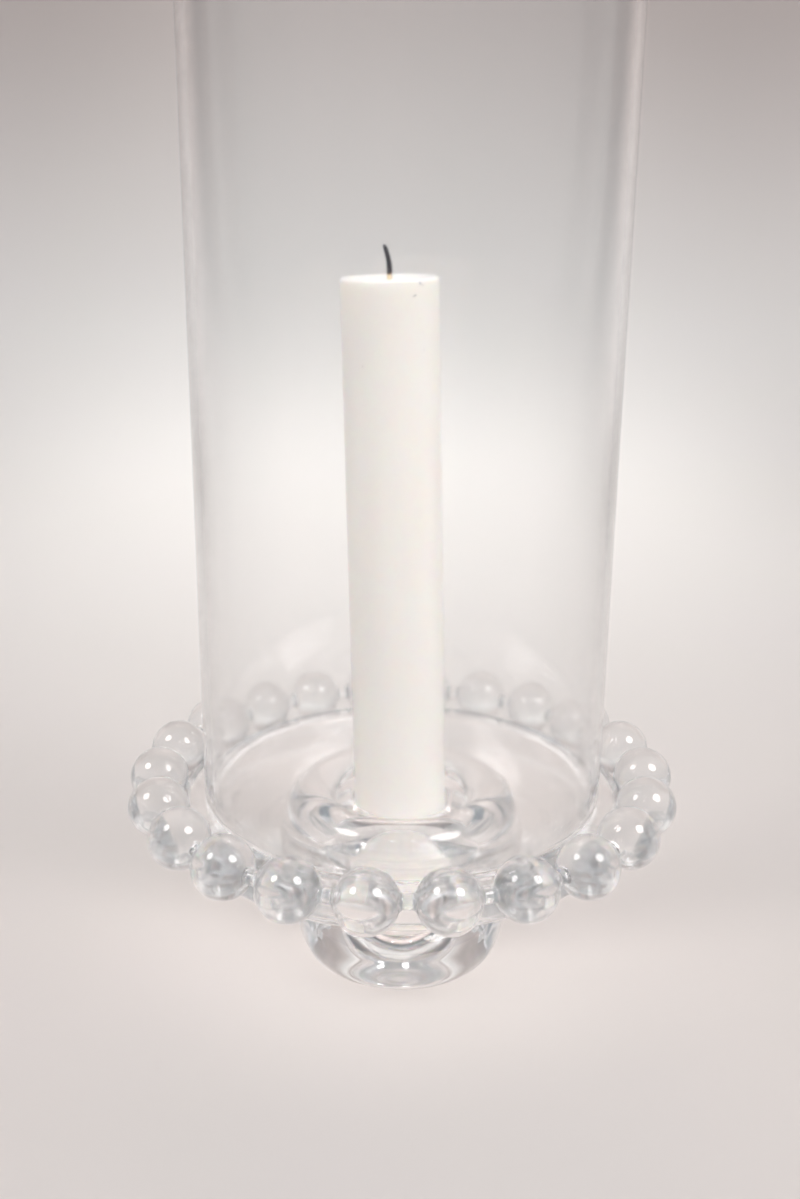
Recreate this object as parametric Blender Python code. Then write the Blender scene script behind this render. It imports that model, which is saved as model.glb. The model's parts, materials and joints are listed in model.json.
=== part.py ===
"""A glass hurricane lamp for one dinner candle, on the scale of a table setting.

A short round foot carries a thick, shallow dish. A ring of glass beads, linked bead to bead, sits round the
dish's rim. In the middle a heavy glass cup holds the candle upright. An open glass tube, the chimney, stands
loose on a ledge just inside the beads and lifts straight off. The candle stands in its cup with a little
play, so it leans, and it pulls out of the cup along its own length. A wick runs through the candle.

The table is z = 0, the lamp's axis is the Z axis, and all sizes are in metres.
"""
import bpy
import bmesh
from math import acos, asin, atan2, cos, degrees, hypot, pi, radians, sin, sqrt, tan
from mathutils import Matrix, Vector

for old in list(bpy.data.objects):
    bpy.data.objects.remove(old)

MM = 0.001
GAP = 0.3 * MM  # left between pieces that touch

# The bead ring: its size across the bead centres, and the beads that fit round it
BEAD_RING_DIAMETER = 120.0 * MM
BEAD_DIAMETER = 14.3 * MM
BEAD_LINK_LENGTH = 2.8 * MM
BEAD_LINK_DIAMETER = 3.6 * MM
BEAD_SEAT_DEPTH = 0.9 * MM  # flat that each bead has towards the rim
BEAD_RISE = 2.2 * MM  # bead centres above the ledge

# The foot
FOOT_DIAMETER = 53.0 * MM
FOOT_HEIGHT = 17.4 * MM
FOOT_BULGE_HEIGHT = 10.5 * MM  # where the foot is widest
FOOT_CONTACT_DIAMETER = 41.0 * MM
FOOT_CONTACT_WIDTH = 3.5 * MM  # flat ring that stands on the table
FOOT_HOLLOW_DEPTH = 3.0 * MM
STEM_DIAMETER = 41.2 * MM
STEM_HEIGHT = 6.6 * MM  # from the foot up to the fillet under the dish
STEM_FILLET = 2.5 * MM

# The dish
DISH_HEIGHT = 27.3 * MM  # from the foot to the ledge
DISH_FALL = 5.6 * MM  # from the ledge down to the middle
DISH_EDGE_BAND = 2.3 * MM  # upright band between shoulder and rim
RIM_ROUND = 3.0 * MM
SHOULDER_ROUND = 4.0 * MM
LEDGE_ROUND = 1.2 * MM
LEDGE_MARGIN = 1.0 * MM  # ledge left inside the chimney

# The candle and its wick
CANDLE_BASE_DIAMETER = 22.6 * MM
CANDLE_TOP_DIAMETER = 22.0 * MM
CANDLE_LENGTH = 140.0 * MM
CANDLE_EDGE = 0.5 * MM
CANDLE_POOL_DIAMETER = 17.0 * MM
CANDLE_POOL_DEPTH = 1.0 * MM
CANDLE_LEAN = radians(1.6)
WICK_DIAMETER = 1.5 * MM
WICK_LENGTH_ABOVE = 7.0 * MM  # above the middle of the candle's top
WICK_BEND = 0.9 * MM  # how far the burnt tip curls over

# The cup that holds the candle
SOCKET_DEPTH = 15.0 * MM
SOCKET_PLAY = 0.4 * MM  # least room between the leaning candle and the socket's mouth
SOCKET_LIP_ROUND = 1.0 * MM
CUP_RING_WIDTH = 16.5 * MM  # from the socket's wall to the ring's outside
CUP_RING_ROUND = 6.6 * MM
CUP_DISHING = 4.0 * MM  # top of the ring down to the socket's mouth
CUP_WALL = 6.9 * MM
CUP_FLOOR = 3.3 * MM
CUP_SEAT_MARGIN = 1.0 * MM  # flat of the dish left outside the ring

# The chimney
CHIMNEY_HEIGHT = 240.0 * MM
CHIMNEY_WALL = 2.0 * MM
CHIMNEY_CLEARANCE = 4.35 * MM  # between the chimney and the beads

# How finely the round shapes are cut
TURN_STEPS = 48
CANDLE_STEPS = 28
BEAD_SIDES = 16
WICK_SIDES = 8

# Places that follow from the sizes above
bead_ring_radius = BEAD_RING_DIAMETER / 2
bead_radius = BEAD_DIAMETER / 2
bead_count = round(pi * BEAD_RING_DIAMETER / (BEAD_DIAMETER + BEAD_LINK_LENGTH))
stem_z = FOOT_HEIGHT + GAP
ledge_z = stem_z + DISH_HEIGHT
bead_z = ledge_z + BEAD_RISE
rim_z = ledge_z - RIM_ROUND
seat_distance = bead_radius - BEAD_SEAT_DEPTH
rim_reach = seat_distance + GAP + RIM_ROUND
rim_radius = bead_ring_radius - sqrt(rim_reach ** 2 - (bead_z - rim_z) ** 2)
chimney_radius = bead_ring_radius - bead_radius - CHIMNEY_CLEARANCE
chimney_z = ledge_z + GAP
cup_z = ledge_z - DISH_FALL + GAP
lip_z = cup_z + CUP_RING_ROUND - CUP_DISHING
socket_z = lip_z - SOCKET_DEPTH
socket_radius = CANDLE_BASE_DIAMETER / 2 + SOCKET_PLAY + SOCKET_DEPTH * tan(CANDLE_LEAN)
cup_radius = socket_radius + CUP_RING_WIDTH
cup_body_radius = socket_radius + CUP_WALL
candle_z = socket_z + GAP + CANDLE_BASE_DIAMETER / 2 * sin(CANDLE_LEAN)


def glass(name, colour):
    """A clear, smooth glass."""
    material = bpy.data.materials.new(name)
    material.use_nodes = True
    shader = material.node_tree.nodes["Principled BSDF"]
    shader.inputs["Base Color"].default_value = (*colour, 1.0)
    shader.inputs["Metallic"].default_value = 0.0
    shader.inputs["Roughness"].default_value = 0.02
    shader.inputs["Transmission Weight"].default_value = 1.0
    shader.inputs["IOR"].default_value = 1.5
    return material


def solid(name, colour, roughness):
    """A plain finish that light doesn't pass through."""
    material = bpy.data.materials.new(name)
    material.use_nodes = True
    shader = material.node_tree.nodes["Principled BSDF"]
    shader.inputs["Base Color"].default_value = (*colour, 1.0)
    shader.inputs["Metallic"].default_value = 0.0
    shader.inputs["Roughness"].default_value = roughness
    return material


def add_object(name, bm, material, parent=None, place=Matrix.Identity(4)):
    """Turns a finished bmesh into a named object, shaded smooth except at its real edges."""
    mesh = bpy.data.meshes.new(name)
    bmesh.ops.recalc_face_normals(bm, faces=bm.faces)
    bm.to_mesh(mesh)
    bm.free()
    mesh.shade_smooth()
    mesh.set_sharp_from_angle(angle=radians(40))
    mesh.materials.append(material)
    piece = bpy.data.objects.new(name, mesh)
    bpy.context.scene.collection.objects.link(piece)
    piece.parent = parent
    piece.matrix_basis = place
    return piece


def add_axis(name, place):
    """An empty on the line that a loose piece moves along."""
    empty = bpy.data.objects.new(name, None)
    bpy.context.scene.collection.objects.link(empty)
    empty.empty_display_size = 10 * MM
    empty.matrix_basis = place
    return empty


def arc(centre, radius, start, end, steps):
    """Points (r, z) on a round stretch of an outline, with its angles in degrees."""
    angles = [radians(start + (end - start) * i / steps) for i in range(steps + 1)]
    return [(centre[0] + radius * cos(a), centre[1] + radius * sin(a)) for a in angles]


def bulge(inner, outer, steps):
    """Points (r, z) on a quarter of an ellipse that leaves inner level and reaches outer upright."""
    turns = [pi / 2 * i / steps for i in range(steps + 1)]
    return [(inner[0] + (outer[0] - inner[0]) * sin(t), outer[1] + (inner[1] - outer[1]) * cos(t))
            for t in turns]


def turned(outline, steps, closed=False):
    """Spins an outline of (r, z) points round the Z axis. A closed outline gives a ring or a tube."""
    bm = bmesh.new()
    points = [bm.verts.new((r, 0.0, z)) for r, z in outline]
    pairs = list(zip(points, points[1:]))
    if closed:
        pairs.append((points[-1], points[0]))
    edges = [bm.edges.new(pair) for pair in pairs]
    bmesh.ops.spin(bm, geom=points + edges, cent=(0, 0, 0), axis=(0, 0, 1), angle=2 * pi, steps=steps,
                   use_merge=True)
    bmesh.ops.remove_doubles(bm, verts=bm.verts, dist=1e-6)
    return bm


def ring_of_points(bm, centre, radius, across, up, sides):
    """A round of vertices about centre, in the plane of the two directions across and up."""
    angles = [2 * pi * i / sides for i in range(sides)]
    return [bm.verts.new(centre + radius * (cos(a) * across + sin(a) * up)) for a in angles]


def skin(bm, rings):
    """Joins rings of vertices into one closed body with a flat face at each end."""
    for lower, upper in zip(rings, rings[1:]):
        for i in range(len(lower)):
            j = (i + 1) % len(lower)
            bm.faces.new((lower[i], lower[j], upper[j], upper[i]))
    bm.faces.new(rings[0])
    bm.faces.new(rings[-1])


def make_foot(material):
    """A bun-shaped foot with a shallow hollow below, standing on a flat ring."""
    contact = FOOT_CONTACT_DIAMETER / 2
    hollow = contact - FOOT_CONTACT_WIDTH
    steps = 4
    below = [(hollow * i / steps, FOOT_HOLLOW_DEPTH * (1 - (i / steps) ** 2)) for i in range(steps + 1)]
    widest = (FOOT_DIAMETER / 2, FOOT_BULGE_HEIGHT)
    top = (STEM_DIAMETER / 2, FOOT_HEIGHT)
    lower = bulge((contact, 0.0), widest, 6)
    upper = bulge(top, widest, 5)
    return add_object("foot", turned(below + lower + upper[-2::-1] + [(0.0, FOOT_HEIGHT)], TURN_STEPS), material)


def make_dish(material):
    """A thick, shallow dish: stem, conical underside, upright edge, round rim, ledge, and a well for the cup."""
    stem = STEM_DIAMETER / 2
    fillet = arc((stem + STEM_FILLET, stem_z + STEM_HEIGHT), STEM_FILLET, 180, 107, 3)
    shoulder = (rim_radius + RIM_ROUND - SHOULDER_ROUND, rim_z - DISH_EDGE_BAND)
    run, rise = shoulder[0] - fillet[-1][0], shoulder[1] - fillet[-1][1]
    slope = atan2(rise, run) - asin(SHOULDER_ROUND / hypot(run, rise))
    edge = arc(shoulder, SHOULDER_ROUND, degrees(slope) - 90, 0, 4)
    rim = arc((rim_radius, rim_z), RIM_ROUND, 0, 90, 4)
    ledge_end = chimney_radius - CHIMNEY_WALL - LEDGE_MARGIN
    ledge = arc((ledge_end, ledge_z - LEDGE_ROUND), LEDGE_ROUND, 90, 135, 2)
    cup_seat = ledge_z - DISH_FALL
    well = cup_body_radius + GAP
    well_floor = socket_z - CUP_FLOOR - GAP
    middle = [(cup_radius + CUP_SEAT_MARGIN, cup_seat), (well, cup_seat), (well, well_floor), (0.0, well_floor)]
    outline = [(0.0, stem_z), (stem, stem_z)] + fillet + edge + rim + ledge + middle
    return add_object("dish", turned(outline, TURN_STEPS), material)


def make_candle_cup(material):
    """A heavy half-round ring with the candle's socket in it, on a stub that sits in the dish's well."""
    ring = (cup_radius - CUP_RING_ROUND, cup_z)
    inner_end = 180 - degrees(asin((lip_z - cup_z) / CUP_RING_ROUND))
    ring_top = arc(ring, CUP_RING_ROUND, 0, inner_end, 9)
    lip = arc((socket_radius + SOCKET_LIP_ROUND, lip_z - SOCKET_LIP_ROUND), SOCKET_LIP_ROUND, 90, 180, 3)
    bottom = socket_z - CUP_FLOOR
    stub = [(0.0, bottom), (cup_body_radius, bottom), (cup_body_radius, cup_z)]
    floor = [(socket_radius, socket_z), (0.0, socket_z)]
    return add_object("candle_cup", turned(stub + ring_top + lip + floor, TURN_STEPS), material)


def make_beads(material):
    """The ring of beads. Each is a ball with half a link on both sides and a flat towards the rim."""
    half_step = pi / bead_count
    link_radius = BEAD_LINK_DIAMETER / 2
    link_end = bead_ring_radius * sin(half_step) - GAP / 2
    link_start = degrees(acos(link_radius / bead_radius))
    latitudes = [radians(d) for d in (20, 40, 58, link_start)]
    up = Vector((0, 0, 1))
    bm = bmesh.new()
    sides = {}
    for side in (-1, 1):
        along = Vector((-sin(half_step), side * cos(half_step), 0))
        across = Vector((cos(half_step), side * sin(half_step), 0))
        rounds = [(bead_radius * sin(a), bead_radius * cos(a)) for a in latitudes] + [(link_end, link_radius)]
        sides[side] = [ring_of_points(bm, along * s, r, across, up, BEAD_SIDES) for s, r in rounds]
    middle = ring_of_points(bm, Vector(), bead_radius, Vector((1, 0, 0)), up, BEAD_SIDES)
    skin(bm, sides[-1][::-1] + [middle] + sides[1])
    towards_rim = Vector((rim_radius - bead_ring_radius, 0, rim_z - bead_z)).normalized()
    cut = bmesh.ops.bisect_plane(bm, geom=bm.verts[:] + bm.edges[:] + bm.faces[:], plane_co=towards_rim * seat_distance,
                                 plane_no=towards_rim, clear_outer=True)
    bmesh.ops.edgeloop_fill(bm, edges=[e for e in cut["geom_cut"] if isinstance(e, bmesh.types.BMEdge)])
    first = add_object("bead_01", bm, material)
    for i in range(bead_count):
        bead = first if i == 0 else bpy.data.objects.new(f"bead_{i + 1:02d}", first.data)
        if i:
            bpy.context.scene.collection.objects.link(bead)
        turn = Matrix.Rotation(-pi / 2 + half_step * (2 * i + 1), 4, "Z")
        bead.matrix_basis = turn @ Matrix.Translation((bead_ring_radius, 0, bead_z))


def make_chimney(material):
    """An open tube with both rims melted round, standing on the ledge."""
    axis = add_axis("chimney_lift_axis", Matrix.Translation((0, 0, chimney_z)))
    melt = CHIMNEY_WALL / 2
    middle = chimney_radius - melt
    top = arc((middle, CHIMNEY_HEIGHT - melt), melt, 0, 180, 4)
    bottom = arc((middle, melt), melt, 180, 360, 4)
    return add_object("chimney", turned(top + bottom, TURN_STEPS, closed=True), material, parent=axis)


def make_candle(material, axis):
    """A dinner candle, a little thinner at the top, with a shallow pool melted round the wick."""
    base = CANDLE_BASE_DIAMETER / 2
    top = CANDLE_TOP_DIAMETER / 2
    bore = WICK_DIAMETER / 2 + GAP
    pool = CANDLE_POOL_DIAMETER / 2
    pool_z = CANDLE_LENGTH - CANDLE_POOL_DEPTH
    outline = [(bore, 0.0), (base - CANDLE_EDGE, 0.0), (base, CANDLE_EDGE), (top, CANDLE_LENGTH - CANDLE_EDGE),
               (top - CANDLE_EDGE, CANDLE_LENGTH), (pool, CANDLE_LENGTH), ((pool + bore) / 2, pool_z), (bore, pool_z)]
    return add_object("candle", turned(outline, CANDLE_STEPS, closed=True), material, parent=axis)


def make_wick(material, axis):
    """A cord through the candle, with a burnt end that curls to one side above the wax."""
    radius = WICK_DIAMETER / 2
    wax = CANDLE_LENGTH - CANDLE_POOL_DEPTH
    tip = CANDLE_LENGTH + WICK_LENGTH_ABOVE
    heights = [GAP, wax, wax + (tip - wax) / 3, wax + (tip - wax) * 2 / 3, tip]
    bm = bmesh.new()
    rings = []
    for z in heights:
        curl = max(0.0, (z - wax) / (tip - wax))
        centre = Vector((-WICK_BEND * curl ** 2, 0, z))
        rings.append(ring_of_points(bm, centre, radius * (1 - 0.3 * curl ** 2), Vector((1, 0, 0)), Vector((0, 1, 0)),
                                    WICK_SIDES))
    skin(bm, rings)
    return add_object("wick", bm, material, parent=axis)


holder_glass = glass("holder_glass", (0.95, 0.96, 0.97))
chimney_glass = glass("chimney_glass", (0.97, 0.98, 0.98))
wax = solid("wax", (0.92, 0.87, 0.81), 0.45)
burnt_cord = solid("burnt_cord", (0.03, 0.02, 0.03), 0.9)

make_foot(holder_glass)
make_dish(holder_glass)
make_candle_cup(holder_glass)
make_beads(holder_glass)
make_chimney(chimney_glass)
candle_axis = add_axis("candle_lift_axis", Matrix.Translation((0, 0, candle_z)) @ Matrix.Rotation(-CANDLE_LEAN, 4, "Y"))
make_candle(wax, candle_axis)
make_wick(burnt_cord, candle_axis)
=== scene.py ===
# %% [markdown]
# A glass hurricane lamp, dressed for its picture.
# The real lamp is four things: a holder of clear pressed glass with a ring of beads, an open glass tube that
# stands loose on it, a white dinner candle and the candle's wick. Their sizes and places are already settled
# in a frame of plain solids. This file makes the fine surfaces that the eye sees, each in the place of the
# solid that it stands for, and then the paper, the lamps and the camera.
# The frame comes first, because every size below is read from it or sits on it.

# %% The frame
import json
from math import asin, cos, degrees, pi, radians, sin, sqrt, tan

import bmesh
import bpy
from mathutils import Matrix, Vector


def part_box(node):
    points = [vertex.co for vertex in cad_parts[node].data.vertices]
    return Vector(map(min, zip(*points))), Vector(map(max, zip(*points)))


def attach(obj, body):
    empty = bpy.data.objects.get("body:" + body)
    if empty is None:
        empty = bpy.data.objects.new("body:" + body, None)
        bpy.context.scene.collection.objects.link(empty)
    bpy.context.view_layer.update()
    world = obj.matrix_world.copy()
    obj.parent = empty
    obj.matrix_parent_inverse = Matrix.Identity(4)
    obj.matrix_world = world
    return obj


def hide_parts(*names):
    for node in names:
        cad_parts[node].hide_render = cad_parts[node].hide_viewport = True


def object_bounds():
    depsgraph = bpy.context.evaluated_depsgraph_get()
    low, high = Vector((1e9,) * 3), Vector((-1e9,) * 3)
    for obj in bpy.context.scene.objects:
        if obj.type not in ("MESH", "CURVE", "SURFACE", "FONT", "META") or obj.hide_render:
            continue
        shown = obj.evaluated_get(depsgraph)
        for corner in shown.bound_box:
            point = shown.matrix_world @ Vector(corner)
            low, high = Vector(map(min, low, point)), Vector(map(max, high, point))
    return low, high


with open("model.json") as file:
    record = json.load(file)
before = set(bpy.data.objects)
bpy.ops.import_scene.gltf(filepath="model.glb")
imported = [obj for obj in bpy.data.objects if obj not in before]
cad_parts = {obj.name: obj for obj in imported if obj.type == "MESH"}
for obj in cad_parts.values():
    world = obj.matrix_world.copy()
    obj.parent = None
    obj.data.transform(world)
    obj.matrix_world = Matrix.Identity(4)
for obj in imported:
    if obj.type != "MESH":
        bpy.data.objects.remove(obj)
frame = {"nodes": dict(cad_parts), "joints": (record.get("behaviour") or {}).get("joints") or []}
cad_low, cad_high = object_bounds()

# %% [markdown]
# What the frame says about each piece. A box gives its lowest and highest corners, so a round piece's radius
# is its box's highest x, and a bead's middle is half way up its own box. One bead lies on the +X axis, so the
# whole lamp's highest x is the ring's radius and a bead's radius together.

# %% Sizes from the frame
MM = 0.001


def in_mm(length):
    """A length in millimetres, rounded for print."""
    return round(length / MM, 1)


foot_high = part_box("foot")[1]
dish_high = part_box("dish")[1]
cup_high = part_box("candle_cup")[1]
bead_low, bead_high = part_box("bead_01")
chimney_low, chimney_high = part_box("chimney")
candle_low, candle_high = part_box("candle")
bead_nodes = sorted(name for name in frame["nodes"] if name.startswith("bead_"))
bead_radius = (bead_high.z - bead_low.z) / 2
bead_z = (bead_high.z + bead_low.z) / 2
ring_radius = cad_high.x - bead_radius
print("ring:", len(bead_nodes), "beads of", in_mm(2 * bead_radius), "mm on", in_mm(2 * ring_radius), "mm")

# %% [markdown]
# The camera stands in front of the lamp and a little above the candle's top, and looks down at it. The
# picture's perspective gives all of this: a ring of beads seen as an ellipse fixes the height, and the sizes
# of the near and far beads fix the distance. The camera could be aimed by a constraint at an empty, but a
# matrix built from plain turns keeps each of them a value that can be read and changed.

# %% Camera
CAMERA_DISTANCE = 321.0 * MM  # from the middle of the bead ring
CAMERA_ELEVATION = radians(25.45)  # above the bead ring, seen from its middle
CAMERA_TURN = radians(-1.46)  # round the lamp
CAMERA_PITCH = radians(17.60)  # down from level
CAMERA_YAW = radians(0.18)  # to the left
CAMERA_ROLL = radians(0.57)
LENS = 38.34  # millimetres, on a 36 mm film side

bpy.ops.object.select_all(action="DESELECT")
bpy.ops.object.camera_add()
camera = bpy.context.object
camera.name = "camera"
camera.data.lens = LENS
camera.data.clip_start = 10 * MM
camera_place = Vector((0, -CAMERA_DISTANCE * cos(CAMERA_ELEVATION),
                       bead_z + CAMERA_DISTANCE * sin(CAMERA_ELEVATION)))
camera.matrix_world = (Matrix.Rotation(CAMERA_TURN, 4, "Z") @ Matrix.Translation(camera_place)
                       @ Matrix.Rotation(CAMERA_YAW, 4, "Z") @ Matrix.Rotation(pi / 2 - CAMERA_PITCH, 4, "X")
                       @ Matrix.Rotation(CAMERA_ROLL, 4, "Z"))
bpy.context.scene.camera = camera
print("camera:", in_mm(camera_place.z), "mm above the table,", in_mm(-camera_place.y), "mm in front")

# %% [markdown]
# Helpers for edit mode. An operator acts on all that is selected, so a piece is first made the only selected
# one. Inside it, vertices, edges or faces are picked by where their middle is, as a modeller picks them by
# eye. A finished piece is welded, its faces are turned outwards, and its transform is applied, so that its
# object sits at the origin and its place is in its mesh. A report counts its open edges: a closed skin has
# none.

# %% Picking and finishing
WELD = 0.002 * MM  # vertices nearer than this are one
CREASE = radians(38)  # sharper edges stay edges


def only(piece):
    """Makes a piece the only selected object, and the active one."""
    bpy.ops.object.select_all(action="DESELECT")
    piece.select_set(True)
    bpy.context.view_layer.objects.active = piece


def middle(element):
    """The middle of a vertex, an edge or a face."""
    if isinstance(element, bmesh.types.BMVert):
        return element.co.copy()
    return sum((vertex.co for vertex in element.verts), Vector()) / len(element.verts)


def pick(kind, test):
    """In edit mode, selects the elements whose middle passes the test, and no others."""
    bpy.ops.mesh.select_mode(type=kind)
    bpy.ops.mesh.select_all(action="DESELECT")
    mesh = bmesh.from_edit_mesh(bpy.context.object.data)
    elements = {"VERT": mesh.verts, "EDGE": mesh.edges, "FACE": mesh.faces}[kind]
    chosen = [element for element in elements if test(middle(element))]
    for element in chosen:
        element.select_set(True)
    if kind == "VERT":
        mesh.select_flush(True)
    bmesh.update_edit_mesh(bpy.context.object.data)


def finish_piece(piece, name):
    """Applies a piece's transform, welds it, turns its faces outwards and shades it smooth."""
    only(piece)
    bpy.ops.object.transform_apply(location=True, rotation=True, scale=True)
    bpy.ops.object.mode_set(mode="EDIT")
    bpy.ops.mesh.select_all(action="SELECT")
    bpy.ops.mesh.remove_doubles(threshold=WELD)
    bpy.ops.mesh.normals_make_consistent(inside=False)
    bpy.ops.object.mode_set(mode="OBJECT")
    bpy.ops.object.shade_smooth_by_angle(angle=CREASE)
    piece.name = piece.data.name = name
    return piece


def report(piece):
    """Prints a piece's size, triangles and volume, and how many edges don't join exactly two faces."""
    mesh = bmesh.new()
    mesh.from_mesh(piece.data)
    loose = sum(len(edge.link_faces) != 2 for edge in mesh.edges)
    volume = mesh.calc_volume() * 1e6
    triangles = sum(len(face.verts) - 2 for face in mesh.faces)
    mesh.free()
    size = " x ".join(str(in_mm(side)) for side in piece.dimensions)
    print(f"{piece.name}: {size} mm, {triangles} triangles, {volume:.1f} ml, {loose} open edges")


print("weld:", WELD / MM, "mm, crease:", round(degrees(CREASE)), "degrees")

# %% [markdown]
# The holder's body is one turned shape: foot, stem, dish and candle cup. A turned piece can be modelled from
# a cylinder, ring by ring, but its curves are easier to see and to change as an outline, which is then spun
# round the axis. The outline is a list of (radius, height) points, with every round stretch as an arc.
# Straight stretches are cut into short ones, because smooth shading blends each face with its neighbour, and
# a long face beside a tight curve would be shaded as if it were bent. The last number of every stretch is
# how many steps it is cut into.

# %% Outline tools
def arc(centre, radius, start, end, steps):
    """Points on a round stretch of an outline, with its angles in degrees."""
    angles = [radians(start + (end - start) * step / steps) for step in range(steps + 1)]
    return [(centre[0] + radius * cos(angle), centre[1] + radius * sin(angle)) for angle in angles]


def bulge(level, upright, steps):
    """Points on a quarter of an ellipse that leaves one point level and reaches the other upright."""
    turns = [pi / 2 * step / steps for step in range(steps + 1)]
    return [(level[0] + (upright[0] - level[0]) * sin(turn),
             upright[1] + (level[1] - upright[1]) * cos(turn)) for turn in turns]


def straight(start, end, steps):
    """Points between two others on a straight stretch, without its ends."""
    return [(start[0] + (end[0] - start[0]) * step / steps, start[1] + (end[1] - start[1]) * step / steps)
            for step in range(1, steps)]


print("a quarter circle in 2 steps:", [(round(x, 2), round(z, 2)) for x, z in arc((0, 0), 1, 0, 90, 2)])

# %% [markdown]
# The foot is a bun of solid glass with a shallow hollow below, so that it stands on a ring and not on its
# middle. A short stem rises from it, and the dish spreads from the stem as a low cone with a round shoulder,
# an upright edge and a round rim.

# %% Foot and dish outline
FOOT_CONTACT_RADIUS = 20.5 * MM
FOOT_CONTACT_WIDTH = 3.5 * MM
FOOT_HOLLOW_DEPTH = 3.0 * MM
HOLLOW_STEPS = 8
FOOT_BULGE_HEIGHT = 10.5 * MM
STEM_RADIUS = 20.6 * MM
STEM_FOOT_ROUND = 1.4 * MM
STEM_FOOT_START = 262  # degrees on that round, which would be level at 270 and is upright at 180
STEM_TOP_ROUND = 2.5 * MM
DISH_SLOPE = 17.0  # degrees, the underside's cone
SHOULDER_ROUND = 4.0 * MM
EDGE_BAND = 2.3 * MM  # upright band between shoulder and rim
RIM_ROUND = 3.0 * MM

hollow_radius = FOOT_CONTACT_RADIUS - FOOT_CONTACT_WIDTH
shares = [step / HOLLOW_STEPS for step in range(HOLLOW_STEPS + 1)]
hollow = [(hollow_radius * share, FOOT_HOLLOW_DEPTH * (1 - share ** 2)) for share in shares]
widest = (foot_high.x, FOOT_BULGE_HEIGHT)
foot_lower = bulge((FOOT_CONTACT_RADIUS, 0.0), widest, 14)
foot_upper = [point for point in bulge((STEM_RADIUS, foot_high.z), widest, 14)[::-1]
              if point[0] > STEM_RADIUS + STEM_FOOT_ROUND]
stem_foot_centre = (STEM_RADIUS + STEM_FOOT_ROUND, foot_high.z + STEM_FOOT_ROUND)
stem_foot = arc(stem_foot_centre, STEM_FOOT_ROUND, STEM_FOOT_START, 180, 7)
shoulder = (dish_high.x - SHOULDER_ROUND, dish_high.z - RIM_ROUND - EDGE_BAND)
shoulder_arc = arc(shoulder, SHOULDER_ROUND, DISH_SLOPE - 90, 0, 12)
slope = radians(DISH_SLOPE)
slope_start = STEM_RADIUS + STEM_TOP_ROUND * (1 - sin(slope))
slope_start_z = shoulder_arc[0][1] - (shoulder_arc[0][0] - slope_start) * tan(slope)
stem_top_z = slope_start_z - STEM_TOP_ROUND * cos(slope)
stem_top = arc((STEM_RADIUS + STEM_TOP_ROUND, stem_top_z), STEM_TOP_ROUND, 180, 90 + DISH_SLOPE, 9)
rim_arc = arc((dish_high.x - RIM_ROUND, dish_high.z - RIM_ROUND), RIM_ROUND, 0, 90, 14)
foot_and_dish = (hollow + straight(hollow[-1], foot_lower[0], 3) + foot_lower + foot_upper[1:] + stem_foot
                 + straight(stem_foot[-1], stem_top[0], 3) + stem_top
                 + straight(stem_top[-1], shoulder_arc[0], 9) + shoulder_arc
                 + straight(shoulder_arc[-1], rim_arc[0], 3) + rim_arc)
print("foot and dish outline:", len(foot_and_dish), "points, stem ends at", in_mm(stem_top_z), "mm")

# %% [markdown]
# Inside, a flat ledge carries the chimney. Then the dish falls evenly to the candle cup, a heavy half-round
# ring with the socket in its middle. Top and underside fall alike, so the dish is as thick all over. The
# socket is wider than the candle, so the candle leans.

# %% Inside outline
LEDGE_INNER_RADIUS = 45.5 * MM
LEDGE_ROUND = 3.0 * MM
WELL_LEVEL = 5.45 * MM  # from the ledge down to the glass beside the cup
CUP_RING_ROUND = 6.6 * MM
CUP_DISHING = 4.0 * MM  # top of the ring down to the socket's mouth
SOCKET_RADIUS = 12.12 * MM
SOCKET_DEPTH = 15.0 * MM
SOCKET_LIP_ROUND = 1.0 * MM
SOCKET_CORNER = 0.8 * MM

ledge_z = dish_high.z
well_z = ledge_z - WELL_LEVEL
cup_ring = (cup_high.x - CUP_RING_ROUND, cup_high.z - CUP_RING_ROUND)
lip_z = cup_high.z - CUP_DISHING
socket_z = lip_z - SOCKET_DEPTH
ring_start = -degrees(asin((cup_ring[1] - well_z) / CUP_RING_ROUND))
ring_end = 180 - degrees(asin((lip_z - cup_ring[1]) / CUP_RING_ROUND))
cup_arc = arc(cup_ring, CUP_RING_ROUND, ring_start, ring_end, 30)
lip_arc = arc((SOCKET_RADIUS + SOCKET_LIP_ROUND, lip_z - SOCKET_LIP_ROUND), SOCKET_LIP_ROUND, 90, 180, 7)
corner = arc((SOCKET_RADIUS - SOCKET_CORNER, socket_z + SOCKET_CORNER), SOCKET_CORNER, 0, -90, 5)
fall = degrees(asin(WELL_LEVEL / (LEDGE_INNER_RADIUS - cup_arc[0][0])))
ledge_arc = arc((LEDGE_INNER_RADIUS, ledge_z - LEDGE_ROUND), LEDGE_ROUND, 90, 90 + fall, 4)
inside = (straight(rim_arc[-1], ledge_arc[0], 5) + ledge_arc + straight(ledge_arc[-1], cup_arc[0], 12)
          + cup_arc + straight(cup_arc[-1], lip_arc[0], 3) + lip_arc + straight(lip_arc[-1], corner[0], 5)
          + corner + straight(corner[-1], (0.0, socket_z), 4) + [(0.0, socket_z)])
print("inside outline:", len(inside), "points, socket floor at", in_mm(socket_z), "mm")

# %% [markdown]
# Spinning the whole outline makes foot, dish and cup one skin with no glass inside glass. That matters here:
# two clear solids that only touch show a bright film where they meet, which pressed glass doesn't have. A
# tiny plane is merged to one vertex, which is then extruded from point to point of the outline.

# %% Spin the holder's body
HOLDER_STEPS = 180
outline = foot_and_dish + inside

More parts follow.
